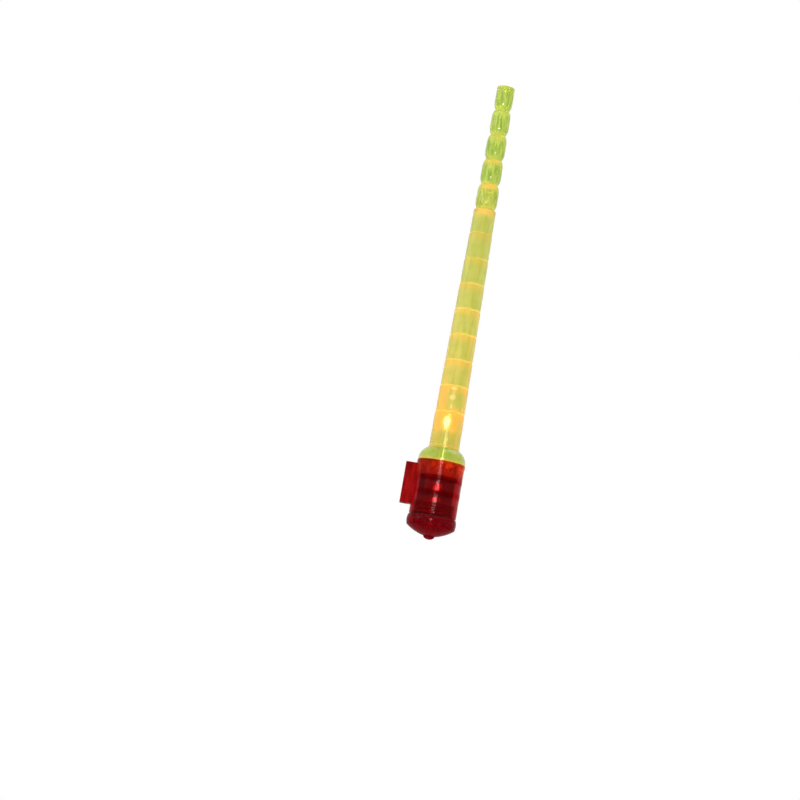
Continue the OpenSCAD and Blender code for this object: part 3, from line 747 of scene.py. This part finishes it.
def cell_steel():
    """Bright nickel of the cells, with fine draw lines down each can."""
    f = Finish("cell_steel")
    z = f.axis("Z")
    drawn = f.noise(0.35, 3, f.stretch(1, 1, 0.06))
    stain = f.noise(2, 4)
    bright = f.mix(f.rise(stain, 0.35, 0.7), colour(0.80, 0.78, 0.76), colour(0.92, 0.90, 0.88))
    # Painted shade: the lower part of each can, by its crimped foot, is painted nearly black
    depth = f.add("ShaderNodeMath", {"operation": "FRACT"}, {0: (CELLS_TOP - z) / CELL_H})
    return f.shade(
        Base_Color=f.mix(f.rise(depth, 0.6, 0.7), bright, colour(0.07, 0.065, 0.06)),
        Metallic=1.0,
        Roughness=0.13 + 0.1 * drawn,
        Normal=f.bump(drawn, 0.17, 0.8),
    )


def plain_metal(name, dark, light, roughness, size):
    """Metal with stains of this size and a finer grain."""
    f = Finish(name)
    stain = f.noise(size, 4)
    grain = f.noise(size / 8, 2)
    return f.shade(
        Base_Color=f.mix(f.rise(stain, 0.35, 0.7), dark, light),
        Metallic=1.0,
        Roughness=roughness + 0.15 * stain,
        Normal=f.bump(grain, 0.02, 0.3),
    )


def moulded(name, dark, light, roughness, size):
    """Dull plastic or rubber with clouds of this size and a finer grain."""
    f = Finish(name)
    cloud = f.noise(size, 4)
    grain = f.noise(size / 6, 3)
    return f.shade(
        Base_Color=f.mix(f.rise(cloud, 0.3, 0.7), dark, light),
        Roughness=roughness + 0.12 * grain,
        Normal=f.bump(grain, 0.03, 0.4),
    )


def lamp_resin():
    """Clear amber of the lamp, a little cloudy."""
    f = Finish("lamp_resin")
    cloud = f.noise(1.2, 2)
    return f.shade(
        Base_Color=f.mix(cloud, colour(0.95, 0.62, 0.16), colour(1.0, 0.78, 0.34)),
        Roughness=0.08 + 0.1 * cloud,
        IOR=1.5,
        Transmission_Weight=0.9,
        Emission_Color=f.mix(cloud, colour(0.35, 0.13, 0.008), colour(0.55, 0.24, 0.02)),
        Emission_Strength=0.3,
    )


def lamp_light():
    """The lit core of the lamp, hottest at its heart."""
    f = Finish("lamp_light")
    z = f.axis("Z")
    grain = f.noise(0.6, 2)
    heart = f.band(z, 11.5, 12.4, 14.8, 16.2)
    return f.shade(
        Base_Color=f.mix(grain, colour(0.95, 0.80, 0.45), colour(1.0, 0.92, 0.7)),
        Roughness=0.4 + 0.2 * grain,
        Emission_Color=f.mix(heart, colour(0.03, 0.02, 0.01), colour(0.45, 0.45, 1.0)),
        Emission_Strength=22.0,
    )


def lit_lead():
    """Bright tin of the leads, lit from above by the lamp."""
    f = Finish("lit_lead")
    z = f.axis("Z")
    grain = f.noise(0.5, 3, f.stretch(1, 1, 0.3))
    near = f.band(z, -1, 2, 6.5, 8.4) * (0.4 + 0.6 * f.rise(grain, 0.4, 0.6))
    return f.shade(
        Base_Color=f.mix(grain, colour(0.62, 0.62, 0.60), colour(0.82, 0.82, 0.80)),
        Metallic=1.0,
        Roughness=0.2 + 0.15 * grain,
        Emission_Color=f.mix(near, colour(0.0, 0.0, 0.0), colour(0.55, 0.55, 1.0)),
        Emission_Strength=3.0,
    )


def circuit_board():
    """Green mask over copper tracks."""
    f = Finish("board")
    tracks = f.add("ShaderNodeTexVoronoi", {"feature": "DISTANCE_TO_EDGE"}, {
        "Vector": f.stretch(1, 1, 0), "Scale": 0.7, "Randomness": 0.4,
    })
    copper = f.rise(tracks, 0.16, 0.10)
    weave = f.noise(0.15, 2)
    masked = f.mix(copper, colour(0.012, 0.11, 0.04), colour(0.05, 0.26, 0.08))
    # The sawn rim shows the pale fibre under the mask
    around = f.add("ShaderNodeVectorMath", {"operation": "LENGTH"}, {0: f.stretch(1, 1, 0)}, out="Value")
    rim = f.rise(around, BOARD_R - 0.15, BOARD_R - 0.05)
    fibre = f.mix(weave, colour(0.50, 0.40, 0.20), colour(0.66, 0.56, 0.32))
    return f.shade(
        Base_Color=f.mix(rim, masked, fibre),
        Roughness=0.35 + 0.15 * weave,
        Normal=f.bump(copper + 0.2 * weave, 0.04, 0.5),
    )


def dress(finishes):
    """Gives each CAD node that stays in view its finish."""
    for finish, names in finishes:
        for name in names:
            mesh = nodes[name].data
            mesh.materials.clear()
            mesh.materials.append(finish)


def add_piece(piece, body, slot, finish, *replaced):
    """Gives a new piece its finish, the body it rides on and the nodes it stands for; its slot is not used.
    """
    piece.data.materials.clear()
    piece.data.materials.append(finish)
    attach(piece, body)
    if replaced:
        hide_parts(*replaced)


# Camera, light and floor

def make_camera():
    turn = (Matrix.Rotation(CAMERA_YAW, 4, "Z") @ Matrix.Rotation(CAMERA_TILT, 4, "X")
            @ Matrix.Rotation(CAMERA_ROLL, 4, "Z"))
    bpy.ops.object.camera_add()
    camera = bpy.context.object
    camera.matrix_world = Matrix.Translation(CAMERA_PLACE) @ turn
    camera.data.lens = LENS
    camera.data.sensor_width = SENSOR
    bpy.context.scene.camera = camera


def make_light(name, place, size, power):
    """A round soft light that faces the middle of the object."""
    bpy.ops.object.light_add(type="AREA", location=place)
    lamp = bpy.context.object
    lamp.name = name
    lamp.data.shape = "DISK"
    lamp.data.size = size
    lamp.data.energy = power
    lamp.rotation_euler = (Vector(LIT_MIDDLE) - Vector(place)).to_track_quat("-Z", "Y").to_euler()


def make_studio():
    """Lights, a pale floor and a white room."""
    for name, place, size, power in LIGHTS:
        make_light(name, place, size, power)
    bpy.ops.object.select_all(action="DESELECT")
    bpy.ops.mesh.primitive_plane_add(size=FLOOR_SIZE, location=(0, 0, FLOOR_Z))
    floor = bpy.context.object
    floor.name = "floor"
    f = Finish("floor_paint")
    mottle = f.noise(40, 3)
    f.shade(Base_Color=f.mix(mottle, colour(0.86, 0.86, 0.86), colour(0.9, 0.9, 0.9)), Roughness=0.8)
    floor.data.materials.append(f.material)

    world = bpy.data.worlds.new("white_room")
    bpy.context.scene.world = world
    world.use_nodes = True
    sheet = Sheet(world.node_tree)
    path = sheet.add("ShaderNodeLightPath")
    outputs = path.socket.node.outputs
    seen = sheet.add("ShaderNodeClamp", None, {
        0: Wire(sheet, outputs["Is Camera Ray"]) + Wire(sheet, outputs["Is Glossy Ray"])
        + Wire(sheet, outputs["Is Transmission Ray"]),
    })
    background = world.node_tree.nodes["Background"]
    background.inputs["Color"].default_value = colour(1, 1, 1)
    sheet.feed(background.inputs["Strength"], ROOM_FILL + (1 - ROOM_FILL) * seen)
    bpy.context.scene.view_settings.view_transform = "Standard"


make_camera()
make_studio()

add_piece(make_stick(), "lamp_body", "glow_plastic", glow_plastic(), "light_stick")
housing = make_housing()
add_piece(housing, "lamp_body", "red_plastic", red_plastic(), "battery_housing")
paint_clip(housing, clip_red())
add_piece(make_cap(), "cap", "red_plastic", cap_red(), "end_cap")
add_piece(make_lamp_core(), "lamp_body", "lamp_resin", lamp_light())
spring_steel = plain_metal("spring_steel", colour(0.55, 0.54, 0.52), colour(0.75, 0.75, 0.74), 0.2, 1.0)
add_piece(make_spring(), "cap", "spring_steel", spring_steel, "contact_spring")

dress([
    (cell_steel(), ["upper_cell_can", "upper_cell_cap", "lower_cell_can", "lower_cell_cap"]),
    (moulded("cell_nylon", colour(0.05, 0.05, 0.055), colour(0.1, 0.1, 0.11), 0.4, 0.8),
     ["upper_cell_seal", "lower_cell_seal"]),
    (moulded("seal_rubber", colour(0.012, 0.012, 0.013), colour(0.03, 0.03, 0.03), 0.5, 0.6), ["cap_o_ring"]),
    (lamp_resin(), ["led_lens"]),
    (plain_metal("tinned_steel", colour(0.55, 0.55, 0.54), colour(0.78, 0.78, 0.77), 0.25, 1.2),
     ["motion_switch_can"]),
    (lit_lead(), ["led_leads"]),
    (plain_metal("solder", colour(0.55, 0.56, 0.58), colour(0.72, 0.73, 0.74), 0.2, 0.5), ["solder_joints"]),
    (circuit_board(), ["circuit_board"]),
    (moulded("black_resin", colour(0.012, 0.012, 0.012), colour(0.035, 0.035, 0.035), 0.3, 0.7),
     ["flasher_chip", "resistors", "motion_switch_base"]),
    (plain_metal("contact_brass", colour(0.60, 0.43, 0.16), colour(0.80, 0.63, 0.30), 0.22, 1.5),
     ["motion_switch_ball", "board_contact", "contact_strip", "contact_cup"]),
])
